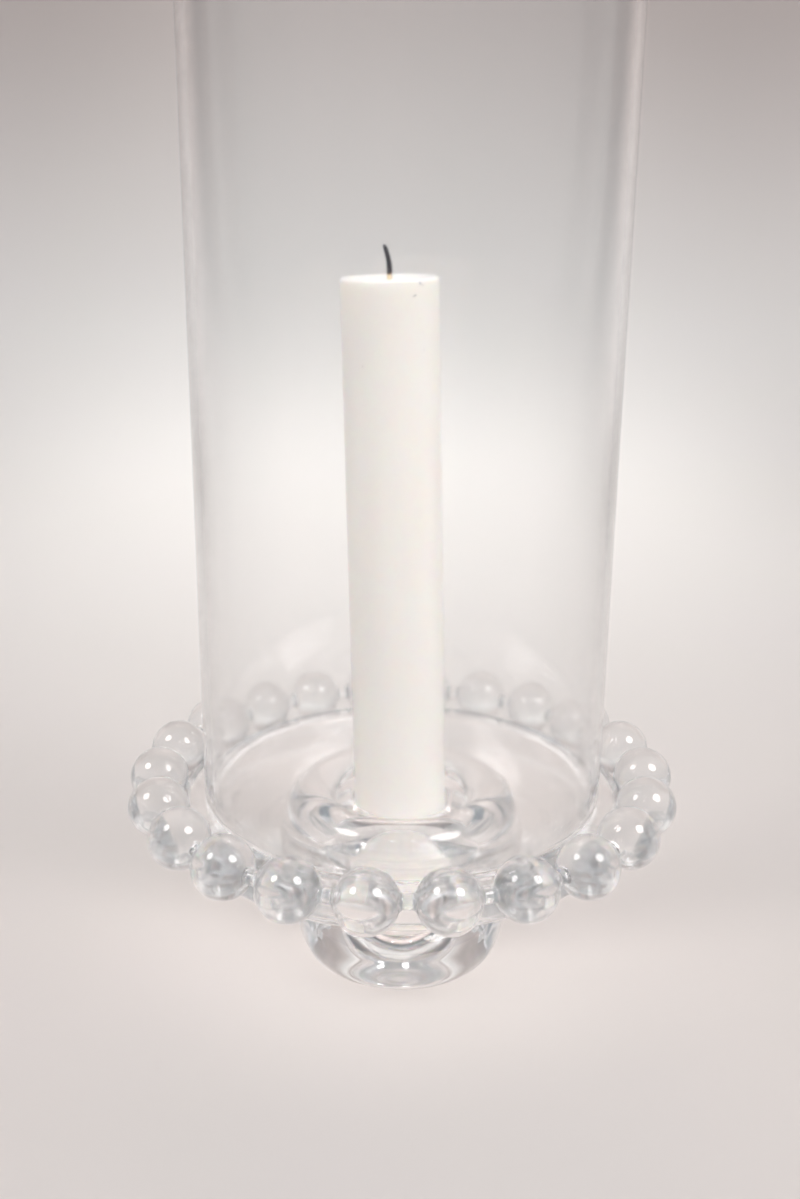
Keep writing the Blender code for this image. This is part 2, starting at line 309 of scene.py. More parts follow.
bpy.ops.object.select_all(action="DESELECT")
bpy.ops.mesh.primitive_plane_add(size=MM, location=(0, 0, 0))
holder = bpy.context.object
bpy.ops.object.mode_set(mode="EDIT")
bpy.ops.mesh.merge(type="CENTER")
bpy.ops.transform.translate(value=(outline[0][0], 0, outline[0][1]))
for here, there in zip(outline, outline[1:]):
    step = (there[0] - here[0], 0, there[1] - here[1])
    bpy.ops.mesh.extrude_region_move(TRANSFORM_OT_translate={"value": step})
bpy.ops.mesh.select_all(action="SELECT")
bpy.ops.mesh.spin(steps=HOLDER_STEPS, angle=2 * pi, center=(0, 0, 0), axis=(0, 0, 1))
bpy.ops.object.mode_set(mode="OBJECT")
finish_piece(holder, "glass_holder")
report(holder)

# %% [markdown]
# The beads are pressed in one string: ball, short neck, ball. Only half of one bead is modelled. A sphere is
# placed with its pole towards the next bead, the cap at that pole is removed, and the open edge is drawn
# out in small steps that narrow to the neck and stop half way to the next bead. A bisection cuts the bead in
# two, and a mirror gives the other half, so that both necks end on planes where the next beads begin.

# %% Half a bead and its neck
BEAD_SEGMENTS = 44
BEAD_RINGS = 32
CAP_RINGS = 4  # rings of the ball that the neck takes the place of
NECK_RADIUS = 1.8 * MM
NECK_FILLET = 1.0 * MM  # length of the hollow where the ball runs into the neck
NECK_STEPS = 6

half_step = pi / len(bead_nodes)
bead_place = Vector((ring_radius, 0, bead_z))
along = Vector((-sin(half_step), cos(half_step), 0))
cap_angle = CAP_RINGS * pi / BEAD_RINGS
neck_end = ring_radius * sin(half_step)

bpy.ops.object.select_all(action="DESELECT")
bpy.ops.mesh.primitive_uv_sphere_add(segments=BEAD_SEGMENTS, ring_count=BEAD_RINGS, radius=bead_radius,
                                     location=bead_place, rotation=along.to_track_quat("Z", "X").to_euler())
bead = bpy.context.object
bpy.ops.object.transform_apply(location=True, rotation=True, scale=True)
bpy.ops.object.mode_set(mode="EDIT")
cap_reach = bead_radius * cos(cap_angle)
pick("FACE", lambda place: (place - bead_place).dot(along) > cap_reach)
bpy.ops.mesh.delete(type="FACE")
pick("VERT", lambda place: (place - bead_place).dot(along) > cap_reach - WELD)

reach, radius = cap_reach, bead_radius * sin(cap_angle)
fillet_turns = [cap_angle + (pi / 2 - cap_angle) * step / NECK_STEPS for step in range(1, NECK_STEPS + 1)]
neck = [(cap_reach + NECK_FILLET * (1 - cos(turn) / cos(cap_angle)),
         NECK_RADIUS + (radius - NECK_RADIUS) * (1 - sin(turn)) / (1 - sin(cap_angle)))
        for turn in fillet_turns]
neck.append((neck_end, NECK_RADIUS))
bpy.ops.mesh.select_mode(type="EDGE")
for next_reach, next_radius in neck:
    bpy.ops.mesh.extrude_region_move(TRANSFORM_OT_translate={"value": along * (next_reach - reach)})
    shrink = next_radius / radius
    bpy.ops.transform.resize(value=(shrink, shrink, shrink), center_override=bead_place + along * next_reach)
    reach, radius = next_reach, next_radius
bpy.ops.mesh.select_all(action="SELECT")
bpy.ops.mesh.bisect(plane_co=bead_place, plane_no=(0, 1, 0), clear_inner=True, threshold=0.1 * WELD)
bpy.ops.object.mode_set(mode="OBJECT")
print("half a bead:", len(bead.data.vertices), "vertices, neck ends", in_mm(reach), "mm from the middle")

# %% [markdown]
# The string is the bead, mirrored and then copied round the ring. The copies are joined and welded, which
# closes every neck, and a Boolean union fuses the string with the dish's rim, as the mould does. The ball
# bites 0.6 mm into the rim, just enough to hold it.

# %% The string of beads, fused to the rim
def apply_modifier(piece, kind, **settings):
    """Adds a modifier to a piece and applies it at once."""
    only(piece)
    bpy.ops.object.modifier_add(type=kind)
    modifier = piece.modifiers[-1]
    for name, value in settings.items():
        setattr(modifier, name, value)
    bpy.ops.object.modifier_apply(modifier=modifier.name)


apply_modifier(bead, "MIRROR", use_axis=(False, True, False), merge_threshold=0.01 * MM)
beads = [bead]
for place in range(1, len(bead_nodes)):
    only(bead)
    bpy.ops.object.duplicate()
    copy = bpy.context.object
    copy.rotation_euler.z = 2 * half_step * place
    bpy.ops.object.transform_apply(location=True, rotation=True, scale=True)
    beads.append(copy)
for copy in beads:
    copy.select_set(True)
bpy.context.view_layer.objects.active = bead
bpy.ops.object.join()
string = finish_piece(bead, "bead_string")
report(string)
apply_modifier(holder, "BOOLEAN", operation="UNION", object=string)
bpy.data.objects.remove(string)
finish_piece(holder, "glass_holder")
report(holder)

# %% [markdown]
# The chimney is a length of drawn tube. An open cylinder gets its wall from Solidify, inwards, so that the
# outside keeps its size. Both rims are fire-polished: their edges melt round, here by a bevel that takes
# almost half of the wall from each side. Two cuts near the ends keep the long wall's shading straight.

# %% Chimney
CHIMNEY_SIDES = 160
CHIMNEY_WALL = 2.0 * MM
RIM_MELT = 0.92 * MM
CUT_FROM_RIM = 1.5 * RIM_MELT

bpy.ops.object.select_all(action="DESELECT")
bpy.ops.mesh.primitive_cylinder_add(vertices=CHIMNEY_SIDES, radius=chimney_high.x, end_fill_type="NOTHING",
                                    depth=chimney_high.z - chimney_low.z,
                                    location=(0, 0, (chimney_low.z + chimney_high.z) / 2))
chimney = bpy.context.object
apply_modifier(chimney, "SOLIDIFY", thickness=CHIMNEY_WALL, offset=-1.0, use_even_offset=True)
bpy.ops.object.transform_apply(location=True, rotation=True, scale=True)
bpy.ops.object.mode_set(mode="EDIT")
rims = (chimney_low.z, chimney_high.z)
wall_middle = chimney_high.x - CHIMNEY_WALL / 2


def on_a_rim(place):
    """True for the edges that run round a rim, and not for those across it."""
    across = abs(place.xy.length - wall_middle) < CHIMNEY_WALL / 4
    return min(abs(place.z - rim) for rim in rims) < WELD and not across


pick("EDGE", on_a_rim)
bpy.ops.mesh.bevel(offset=RIM_MELT, segments=7, profile=0.5, affect="EDGES")
for rim, inward in zip(rims, (1, -1)):
    bpy.ops.mesh.select_all(action="SELECT")
    bpy.ops.mesh.bisect(plane_co=(0, 0, rim + inward * CUT_FROM_RIM), plane_no=(0, 0, 1), threshold=WELD)
bpy.ops.object.mode_set(mode="OBJECT")
finish_piece(chimney, "glass_chimney")
report(chimney)

# %% [markdown]
# The candle is cast wax, a little thinner at the top, and it has burned for a short while. The rim is soft,
# and the middle has melted to a shallow pool round the wick. It starts as an upright cylinder at the origin,
# because insets and cuts are simplest there, and is leaned into its socket at the end. The joint along which
# it slides out of the cup gives the direction.

# %% Candle
CANDLE_BASE_RADIUS = 11.3 * MM
CANDLE_TOP_RADIUS = 11.0 * MM
CANDLE_LENGTH = 140.0 * MM
CANDLE_SIDES = 96
CANDLE_CUTS = 60
POOL_ROOM = 5 * MM  # deeper than the pool, so that none of its edges is picked with the sides
RIM_START = 0.95 * CANDLE_TOP_RADIUS  # of each cap's edges, only its rim is further out
BASE_ROUND = 0.5 * MM
BURNT_ROUND = 0.7 * MM
POOL_STEPS = (  # inwards from the rim, each a width and a fall in millimetres
    (1.3, 0.0), (0.5, 0.12), (0.8, 0.42), (1.2, 0.28), (2.0, 0.10), (2.4, 0.0), (1.1, -0.10), (0.7, -0.25))

bpy.ops.object.select_all(action="DESELECT")
bpy.ops.mesh.primitive_cylinder_add(vertices=CANDLE_SIDES, radius=CANDLE_BASE_RADIUS, depth=CANDLE_LENGTH,
                                    location=(0, 0, CANDLE_LENGTH / 2))
candle = bpy.context.object
bpy.ops.object.transform_apply(location=True, rotation=True, scale=True)
bpy.ops.object.mode_set(mode="EDIT")
pick("VERT", lambda place: place.z > CANDLE_LENGTH / 2)
taper = CANDLE_TOP_RADIUS / CANDLE_BASE_RADIUS
bpy.ops.transform.resize(value=(taper, taper, 1.0), center_override=(0, 0, CANDLE_LENGTH))
pick("FACE", lambda place: place.z > CANDLE_LENGTH - WELD)
for width, fall in POOL_STEPS:
    bpy.ops.mesh.inset(thickness=width * MM, depth=-fall * MM)
pick("EDGE", lambda place: 0 < place.z < CANDLE_LENGTH - POOL_ROOM)
bpy.ops.mesh.subdivide(number_cuts=CANDLE_CUTS)
for height, softness in ((0.0, BASE_ROUND), (CANDLE_LENGTH, BURNT_ROUND)):
    pick("EDGE", lambda place: abs(place.z - height) < WELD and place.xy.length > RIM_START)
    bpy.ops.mesh.bevel(offset=softness, segments=4, profile=0.5, affect="EDGES")
bpy.ops.object.mode_set(mode="OBJECT")
print("candle:", len(candle.data.vertices), "vertices, upright")

# %% [markdown]
# Cast wax isn't a perfect cylinder. A Displace modifier with soft clouds moves the skin by about a tenth of a
# millimetre, which bends the light along the side and makes the rim's line faintly uneven.

# %% Uneven wax, and the lean
WAX_UNEVENNESS = 0.28 * MM
WAX_CLOUD_SIZE = 11.0 * MM

clouds = bpy.data.textures.new("wax_clouds", "CLOUDS")
clouds.noise_scale = WAX_CLOUD_SIZE
clouds.noise_depth = 2
apply_modifier(candle, "DISPLACE", texture=clouds, texture_coords="LOCAL", strength=WAX_UNEVENNESS,
               mid_level=0.5)
candle_lift = next(joint for joint in frame["joints"] if joint["name"] == "candle_lift")
lean = Vector(candle_lift["axis"]).normalized()
candle_z = candle_low.z + CANDLE_BASE_RADIUS * sqrt(1 - lean.z ** 2)
upright_to_lean = Vector((0, 0, 1)).rotation_difference(lean).to_matrix().to_4x4()
leaned = Matrix.Translation((0, 0, candle_z)) @ upright_to_lean
candle.matrix_world = leaned
finish_piece(candle, "wax_candle")
report(candle)

# %% [markdown]
# The wick is a cord of three cotton strands laid together. Its section is a circle with three grooves
# pressed in, and the cord is that section extruded in short steps, each turned a little, so that the grooves
# run round it. Above the wax it stands upright, then curls over to one side where the flame was, and thins
# to a blunt tip.

# %% Wick
WICK_RADIUS = 0.60 * MM
WICK_START = 134.0 * MM  # hidden in the wax
WICK_CURL_START = 142.2 * MM
WICK_TIP = 146.9 * MM
WICK_CURL = 1.05 * MM
WICK_STEPS = 44
WICK_TWIST = radians(22)  # for each step
WICK_SIDES = 30
STRANDS = 3
GROOVES = ((0.90, 24), (0.86, 12))  # pressed in to a share of the radius, and half the width in degrees
CROWDING = 1.25  # above 1, the steps grow shorter towards the tip
BEND = 1.5  # above 1, the curl grows towards the tip
THINNING = 0.22  # share of the width that is lost by the tip
TIP_START = 0.82  # share of the curl where the tip begins to round off
TIP_BLUNTNESS = 0.06  # share of the section's area that is left at its end

bpy.ops.object.select_all(action="DESELECT")
bpy.ops.mesh.primitive_circle_add(vertices=WICK_SIDES, radius=WICK_RADIUS, fill_type="NGON",
                                  location=(0, 0, WICK_START))
wick = bpy.context.object
bpy.ops.object.transform_apply(location=True, rotation=True, scale=True)
bpy.ops.object.mode_set(mode="EDIT")


def from_groove(place):
    """Degrees between a place on the wick and the middle of the nearest groove."""
    return abs(degrees(place.xy.angle_signed(Vector((1, 0)))) % (360 / STRANDS) - 180 / STRANDS)


for depth, half_width in GROOVES:
    pick("VERT", lambda place: from_groove(place) < half_width)
    bpy.ops.transform.resize(value=(depth, depth, 1.0), center_override=(0, 0, WICK_START))
bpy.ops.mesh.select_mode(type="FACE")
bpy.ops.mesh.select_all(action="SELECT")
height, aside, size = WICK_START, 0.0, 1.0
for step in range(1, WICK_STEPS + 1):
    next_height = WICK_START + (WICK_TIP - WICK_START) * (1 - (1 - step / WICK_STEPS) ** CROWDING)
    curl = max(0.0, (next_height - WICK_CURL_START) / (WICK_TIP - WICK_CURL_START))
    next_aside = -WICK_CURL * curl ** BEND
    rounding = max(0.0, (curl - TIP_START) / (1 - TIP_START))
    next_size = (1 - THINNING * curl) * sqrt(max(TIP_BLUNTNESS, 1 - rounding ** 2))
    move = (next_aside - aside, 0, next_height - height)
    bpy.ops.mesh.extrude_region_move(TRANSFORM_OT_translate={"value": move})
    here = (next_aside, 0, next_height)
    shrink = next_size / size
    bpy.ops.transform.resize(value=(shrink, shrink, 1.0), center_override=here)
    bpy.ops.transform.rotate(value=WICK_TWIST, orient_axis="Z", center_override=here)
    height, aside, size = next_height, next_aside, next_size
bpy.ops.object.mode_set(mode="OBJECT")
wick.matrix_world = leaned
finish_piece(wick, "cotton_wick")
report(wick)

# %% [markdown]
# A finish is a small tree of nodes. By hand, each node is added, its numbers are typed in and its sockets are
# joined by dragging. Here a helper does that for each kind of node that comes up often, so that the finishes
# below read as short recipes. Every pattern reads Object coordinates, so it stays on its piece.

# %% Node helpers
def fill(node, inputs):
    """Sets a node's inputs to values, or links them from other nodes' outputs."""
    for name, value in inputs.items():
        if isinstance(value, bpy.types.NodeSocket):
            node.id_data.links.new(value, node.inputs[name])
        else:
            node.inputs[name].default_value = value


def add_node(tree, kind, inputs=None, **settings):
    """A node with its settings and its inputs."""
    node = tree.nodes.new(kind)
    for name, value in settings.items():
        setattr(node, name, value)
    fill(node, inputs or {})
    return node


def calculate(tree, operation, *values):
    """The result of a Math node."""
    return add_node(tree, "ShaderNodeMath", dict(enumerate(values)), operation=operation).outputs[0]


def stretch(tree, value, start, end, low=0.0, high=1.0):
    """A value taken from one range to another, and held at its ends."""
    ranges = {"Value": value, "From Min": start, "From Max": end, "To Min": low, "To Max": high}
    return add_node(tree, "ShaderNodeMapRange", ranges).outputs["Result"]


def noise(tree, place, scale, detail=3.0):
    """Soft noise between 0 and 1."""
    inputs = {"Vector": place, "Scale": scale, "Detail": detail}
    return add_node(tree, "ShaderNodeTexNoise", inputs).outputs["Fac"]


def mix_colours(tree, factor, first, second):
    """A colour between two others."""
    colours = {"Factor": factor, "A": first, "B": second}
    return add_node(tree, "ShaderNodeMix", colours, data_type="RGBA").outputs["Result"]


def bump(tree, height, distance, strength=1.0):
    """The normal of a surface that a height raises."""
    relief = {"Height": height, "Distance": distance, "Strength": strength}
    return add_node(tree, "ShaderNodeBump", relief).outputs["Normal"]


def start_material(name):
    """A new material: itself, its tree, its Principled shader and the piece's own coordinates."""
    material = bpy.data.materials.new(name)
    material.use_nodes = True
    tree = material.node_tree
    place = add_node(tree, "ShaderNodeTexCoord").outputs["Object"]
    return material, tree, tree.nodes["Principled BSDF"], place


def dress(piece, material):
    """Gives a piece one material, in place of any that it had."""
    piece.data.materials.clear()
    piece.data.materials.append(material)


NODE_HELPERS = (calculate, stretch, noise, mix_colours, bump)
print("node helpers:", ", ".join(helper.__name__ for helper in NODE_HELPERS))

# %% [markdown]
# Pressed glass is never quite flat: it chills against the mould and is then polished by flame, which leaves
# long, shallow ripples. Drawn tube has them too, stretched along its length. Both glasses use the same
# effect, so it is built once, as a node group. It puts out a height for a Bump node, and a faint film that
# roughens the polish a little where hands and dust have been. The shaders stay in the materials.

# %% Surface ripple
SMEAR_SCALE = 0.45  # against the ripples' own
SMEAR_DETAIL = 4.0
SMEAR_RANGE = (0.45, 0.75)  # of the noise: a clean surface, and a full film


def add_group(name, inputs, outputs):
    """An empty node group with named inputs (name, kind, value) and outputs (name, kind)."""
    group = bpy.data.node_groups.new(name, "ShaderNodeTree")
    for title, kind, value in inputs:
        socket = group.interface.new_socket(title, in_out="INPUT", socket_type=kind)
        if value is not None:
            socket.default_value = value
    for title, kind in outputs:
        group.interface.new_socket(title, in_out="OUTPUT", socket_type=kind)
    return group, group.nodes.new("NodeGroupInput"), group.nodes.new("NodeGroupOutput")


ripple, ripple_in, ripple_out = add_group(
    "surface_ripple",
    [("Place", "NodeSocketVector", None), ("Wavelength", "NodeSocketVector", (10 * MM, 10 * MM, 10 * MM)),
     ("Detail", "NodeSocketFloat", 1.0)],
    [("Height", "NodeSocketFloat"), ("Film", "NodeSocketFloat")])
in_waves = add_node(ripple, "ShaderNodeVectorMath", operation="DIVIDE",
                    inputs={0: ripple_in.outputs["Place"], 1: ripple_in.outputs["Wavelength"]}).outputs[0]
smears = noise(ripple, in_waves, SMEAR_SCALE, SMEAR_DETAIL)
fill(ripple_out, {"Height": noise(ripple, in_waves, 1.0, ripple_in.outputs["Detail"]),
                  "Film": stretch(ripple, smears, *SMEAR_RANGE)})


def add_ripple(tree, place, wavelength, detail=1.0):
    """The ripple effect's height and film on a piece."""
    surface = add_node(tree, "ShaderNodeGroup", node_tree=ripple)
    fill(surface, {"Place": place, "Wavelength": wavelength, "Detail": detail})
    return surface.outputs["Height"], surface.outputs["Film"]


print("node group:", ripple.name, [item.name for item in ripple.interface.items_tree])

# %% [markdown]
# Glass is the Principled shader with full transmission. The thick body of the holder is clear, and shows
# lines and streaks of what lies behind. The mould leaves the beads faintly uneven, so what is seen through
# them is soft, but flame has polished their skin, and that shows lamps sharply: a thin clear coat over a
# slightly rough body gives both. The roughness grows outwards at the rim, by the distance from the upright
# axis. A path tracer finds light that has come through curved glass only by luck, so the floor below would be
# black with bright grains. For shadow rays alone the glass is therefore mixed with a plain transparent
# shader, which lets the lights through almost whole. What the camera sees through the glass is still
# bent and reflected as it should be.

# %% Glass
BEADS_START = 50 * MM  # from the upright axis
BEADS_BLEND = 5 * MM
WITHOUT_HEIGHT = (1.0, 1.0, 0.0)
CLEAR = (1.0, 1.0, 1.0, 1.0)
FILM_DULLING = 0.03
SKIN_ROUGHNESS = 0.08


def glass(name, colour, shadow, wavelength, ripple_height, polish, bead_polish, skin, index):
    """Clear polished glass with shallow ripples, a faint film that dulls it in patches, and a clear skin."""
    material, tree, shader, place = start_material(name)
    height, film = add_ripple(tree, place, wavelength)
    level = add_node(tree, "ShaderNodeVectorMath", {0: place, 1: WITHOUT_HEIGHT}, operation="MULTIPLY")
    outwards = add_node(tree, "ShaderNodeVectorMath", {0: level.outputs[0]}, operation="LENGTH")
    body = stretch(tree, outwards.outputs["Value"], BEADS_START, BEADS_START + BEADS_BLEND,
                   polish, bead_polish)
    fill(shader, {"Base Color": mix_colours(tree, film, CLEAR, (*colour, 1.0)),
                  "Roughness": calculate(tree, "MULTIPLY_ADD", film, FILM_DULLING, body),
                  "Normal": bump(tree, height, ripple_height), "Transmission Weight": 1.0, "IOR": index,
                  "Coat Weight": skin, "Coat Roughness": SKIN_ROUGHNESS})
    through = add_node(tree, "ShaderNodeBsdfTransparent", {"Color": (*shadow, 1.0)})
    light_path = add_node(tree, "ShaderNodeLightPath")
    mix = add_node(tree, "ShaderNodeMixShader", {0: light_path.outputs["Is Shadow Ray"], 1: shader.outputs[0],
                                                 2: through.outputs[0]})
    fill(tree.nodes["Material Output"], {"Surface": mix.outputs[0]})
    return material


pressed_glass = glass("pressed_glass", colour=(0.97, 0.98, 0.985), shadow=(0.98, 0.98, 0.98),
                      wavelength=(5 * MM, 5 * MM, 4 * MM), ripple_height=0.012 * MM,
                      polish=0.03, bead_polish=0.13, skin=1.0, index=1.52)
drawn_glass = glass("drawn_glass", colour=(0.98, 0.985, 0.985), shadow=(0.995, 0.995, 0.995),
                    wavelength=(9 * MM, 9 * MM, 90 * MM), ripple_height=0.02 * MM,
                    polish=0.07, bead_polish=0.07, skin=0.0, index=1.45)
dress(holder, pressed_glass)
dress(chimney, drawn_glass)
print("glass:", pressed_glass.name, "and", drawn_glass.name)

# %% [markdown]
# A few specks of soot lie near the candle's top, where the match and the flame were. Each is a small round
# mask about a point on the skin, and noise in the distance makes its edge ragged. The mask is a node group,
# because it is used for every speck.

# %% Soot speck
SPECK_RAGGEDNESS = 2500.0  # the noise's scale
SPECK_EDGE = (0.85, 1.1)  # in widths from the middle, where the soot ends

speck, speck_in, speck_out = add_group(
    "soot_speck",
    [("Place", "NodeSocketVector", None), ("Middle", "NodeSocketVector", None),
     ("Width", "NodeSocketFloat", 0.4 * MM), ("Strength", "NodeSocketFloat", 1.0)],
    [("Mask", "NodeSocketFloat")])
away = add_node(speck, "ShaderNodeVectorMath", operation="DISTANCE",
                inputs={0: speck_in.outputs["Place"], 1: speck_in.outputs["Middle"]}).outputs["Value"]
in_widths = calculate(speck, "DIVIDE", away, speck_in.outputs["Width"])
raggedness = noise(speck, speck_in.outputs["Place"], SPECK_RAGGEDNESS, detail=2.0)
mask = stretch(speck, calculate(speck, "ADD", in_widths, raggedness), *SPECK_EDGE, 1.0, 0.0)
fill(speck_out, {"Mask": calculate(speck, "MULTIPLY", mask, speck_in.outputs["Strength"])})
print("node group:", speck.name, [item.name for item in speck.interface.items_tree])

# %% [markdown]
# Candle wax is white and warm, and light goes a few millimetres into it before it comes out again, which
# subsurface scattering gives: it softens the shading across the round side. The ripple effect mixes a pinker
# and a yellower white, and a fine grain takes the shine off. The specks are placed in a loop, and each
# Maximum node adds one to those before it.

# %% Wax
WAX_PINK = (0.97, 0.90, 0.86, 1.0)
WAX_CREAM = (0.98, 0.92, 0.86, 1.0)
SOOT = (0.30, 0.28, 0.28, 1.0)
SOOT_SPECKS = (  # millimetres below the candle's top, degrees round from +X, width in millimetres, strength
    (0.9, -54, 0.60, 0.8), (1.3, -50, 0.45, 0.6), (3.4, -61, 0.42, 0.9), (3.6, -64, 0.30, 0.6),
    (6.4, -72, 0.34, 0.45), (8.2, -57, 0.34, 0.5), (11.5, -50, 0.30, 0.5), (15.2, -50, 0.36, 0.6),
    (18.3, -125, 0.34, 0.5), (40.9, -57, 0.30, 0.5), (26.0, 40, 0.34, 0.5), (9.0, 112, 0.36, 0.6),
    (52.0, 165, 0.30, 0.5), (4.6, 20, 0.34, 0.6))
WAX_WAVELENGTH = (14 * MM, 14 * MM, 30 * MM)
WAX_ROUGHNESS = (0.34, 0.5)  # clean, and under a full film
GRAIN_SCALE = 900.0
GRAIN_HEIGHT = 0.02 * MM
LIGHT_REACH = (6 * MM, 4 * MM, 2.5 * MM)  # how deep red, green and blue light goes

wax, tree, shader, place = start_material("candle_wax")
height, film = add_ripple(tree, place, WAX_WAVELENGTH, detail=3.0)
soot = 0.0
for below, around, width, amount in SOOT_SPECKS:
    turn = radians(around)
    skin = Vector((CANDLE_TOP_RADIUS * cos(turn), CANDLE_TOP_RADIUS * sin(turn), CANDLE_LENGTH - below * MM))
    one = add_node(tree, "ShaderNodeGroup", node_tree=speck)
    fill(one, {"Place": place, "Middle": leaned @ skin, "Width": width * MM, "Strength": amount})
    soot = calculate(tree, "MAXIMUM", soot, one.outputs["Mask"])
white = mix_colours(tree, height, WAX_PINK, WAX_CREAM)
grain = noise(tree, place, GRAIN_SCALE)
fill(shader, {"Base Color": mix_colours(tree, soot, white, SOOT),
              "Roughness": stretch(tree, film, 0.0, 1.0, *WAX_ROUGHNESS),
              "Normal": bump(tree, grain, GRAIN_HEIGHT, strength=0.6), "IOR": 1.44,
              "Subsurface Weight": 0.5, "Subsurface Radius": LIGHT_REACH, "Subsurface Scale": 1.0})
dress(candle, wax)
print("wax:", len(SOOT_SPECKS), "specks of soot")

# %% [markdown]
# The wick is cream cotton where the wax has kept it cool, and charred above. The change from one to the other
# takes less than a millimetre, through brown, and noise makes the line uneven. A ramp over the height gives
# all three colours. The char is matt and crusted, so its bump is stronger than any other here.

# %% Wick finish
CHAR_START = 1.2 * MM  # above the pool
CHAR_BLEND = 0.7 * MM
CHAR_UNEVENNESS = 0.6 * MM
COTTON = (0.80, 0.66, 0.45, 1.0)
SINGED = (0.10, 0.05, 0.035, 1.0)
SINGED_SHARE = 0.55  # of the way from cotton to char
CHAR = (0.012, 0.008, 0.014, 1.0)
CRUST_SCALE = 2600.0
CRUST_HEIGHT = 0.08 * MM
POOL_DEPTH = sum(fall for width, fall in POOL_STEPS) * MM

charred, tree, shader, place = start_material("charred_cotton")
crust = noise(tree, place, CRUST_SCALE)
height = add_node(tree, "ShaderNodeSeparateXYZ", {0: place}).outputs["Z"]
char_z = (leaned @ Vector((0, 0, CANDLE_LENGTH - POOL_DEPTH + CHAR_START))).z
uneven = calculate(tree, "MULTIPLY_ADD", crust, CHAR_UNEVENNESS, height)
ramp = add_node(tree, "ShaderNodeValToRGB", {"Fac": stretch(tree, uneven, char_z, char_z + CHAR_BLEND)})
ramp.color_ramp.elements[0].color = COTTON
ramp.color_ramp.elements[1].color = CHAR
ramp.color_ramp.elements.new(SINGED_SHARE).color = SINGED
fill(shader, {"Base Color": ramp.outputs["Color"], "Roughness": 0.85,
              "Normal": bump(tree, crust, CRUST_HEIGHT)})
dress(wick, charred)
print("char starts", in_mm(char_z - candle_high.z), "mm above the wax rim")

# %% [markdown]
# The lamp stands on a sheet of pale warm paper that curves up behind it, so that there is no line where the
# floor ends. It is a plane whose back edge is extruded along a quarter circle and then straight up. The sheet
# carries painted shade: its colour turns rosier and darker from the foot of the curve upwards, for dimmer
# light.

# %% Paper
PAPER_FRONT = 2500 * MM
PAPER_BACK = 500 * MM
PAPER_HALF_WIDTH = 2500 * MM
PAPER_CURVE = 500 * MM
PAPER_TOP = 2200 * MM
PAPER_PINK = (0.80, 0.738, 0.715, 1.0)
PAPER_CREAM = (0.80, 0.746, 0.706, 1.0)
# painted shade: the colour the sheet takes higher up, darker and rosier as if less light fell there
PAPER_PAINTED_SHADE = (0.71, 0.61, 0.57, 1.0)
MOTTLE_SCALE = 14.0
PAINTED_SHADE_START = 80 * MM
PAINTED_SHADE_END = 350 * MM

bpy.ops.object.select_all(action="DESELECT")
bpy.ops.mesh.primitive_plane_add(size=2.0, location=(0, 0, 0))
paper = bpy.context.object
paper.scale = (PAPER_HALF_WIDTH, (PAPER_FRONT + PAPER_BACK) / 2, 1.0)
paper.location.y = (PAPER_BACK - PAPER_FRONT) / 2
bpy.ops.object.transform_apply(location=True, rotation=True, scale=True)
bpy.ops.object.mode_set(mode="EDIT")
pick("EDGE", lambda place: place.y > PAPER_BACK - WELD)
sweep = arc((PAPER_BACK, PAPER_CURVE), PAPER_CURVE, -90, 0, 24) + [(PAPER_BACK + PAPER_CURVE, PAPER_TOP)]
for here, there in zip(sweep, sweep[1:]):
    step = (0, there[0] - here[0], there[1] - here[1])
    bpy.ops.mesh.extrude_region_move(TRANSFORM_OT_translate={"value": step})
bpy.ops.object.mode_set(mode="OBJECT")
bpy.ops.object.shade_smooth_by_angle(angle=CREASE)
paper.name = "paper"

sheet, tree, shader, place = start_material("warm_paper")
mottled = mix_colours(tree, noise(tree, place, MOTTLE_SCALE), PAPER_PINK, PAPER_CREAM)
height = add_node(tree, "ShaderNodeSeparateXYZ", {0: place}).outputs["Z"]
# painted shade: the sheet is coloured rosier and darker from the foot of the curve upwards
painted_shade = stretch(tree, height, PAINTED_SHADE_START, PAINTED_SHADE_END)
fill(shader, {"Base Color": mix_colours(tree, painted_shade, mottled, PAPER_PAINTED_SHADE), "Roughness": 0.8})
dress(paper, sheet)
print("paper:", len(paper.data.polygons), "faces")

# %% [markdown]
# Two round softboxes stand left and right in front of the lamp, above it: they are the two bright ovals on
# every bead. Each stands in a direction from the bead ring, because that is all the ovals' places on the
# beads tell, and its width gives the oval's size. Their light is a little warm.

# %% Softboxes
WARM = (1.0, 0.965, 0.955)
SOFTBOX_DISTANCE = 1000 * MM
SOFTBOXES = (  # name, direction, width in millimetres, watts
    ("left_softbox", (-0.656, -0.233, 0.719), 360, 2.5),
    ("right_softbox", (0.539, -0.402, 0.740), 470, 4.2))


def add_light(kind, name, place, towards, watts):
    """A light at a place, turned towards another."""
    turn = (place - towards).to_track_quat("Z", "Y").to_euler()
    bpy.ops.object.light_add(type=kind, location=place, rotation=turn)
    light = bpy.context.object
    light.name = light.data.name = name
    light.data.energy = watts
    return light


bead_level = Vector((0, 0, bead_z))
for name, direction, width, watts in SOFTBOXES:
    place = bead_level + Vector(direction).normalized() * SOFTBOX_DISTANCE
    softbox = add_light("AREA", name, place, bead_level, watts)
    softbox.data.shape = "DISK"
    softbox.data.size = width * MM
    softbox.data.color = WARM
    print(name, "at", [round(side) for side in place / MM], "mm")

# %% [markdown]
# Wide soft spots light the paper at the lamp, its sweep, its upper part that only the foot's glass sees, its
# sides and front that the chimney mirrors, and the candle. They stand for light that comes off a ceiling, so
# they are seen neither in the glass nor through it. Four small lamps can be seen through the glass: two in
# front sparkle in the cup, and two overhead in the foot, because a line of sight into the foot's lower half
# turns upwards through the cup. Paper looks pinker where it is dimmer, so the light on the wall is a little
# warm, and the light on the paper behind the lamp a little cool.

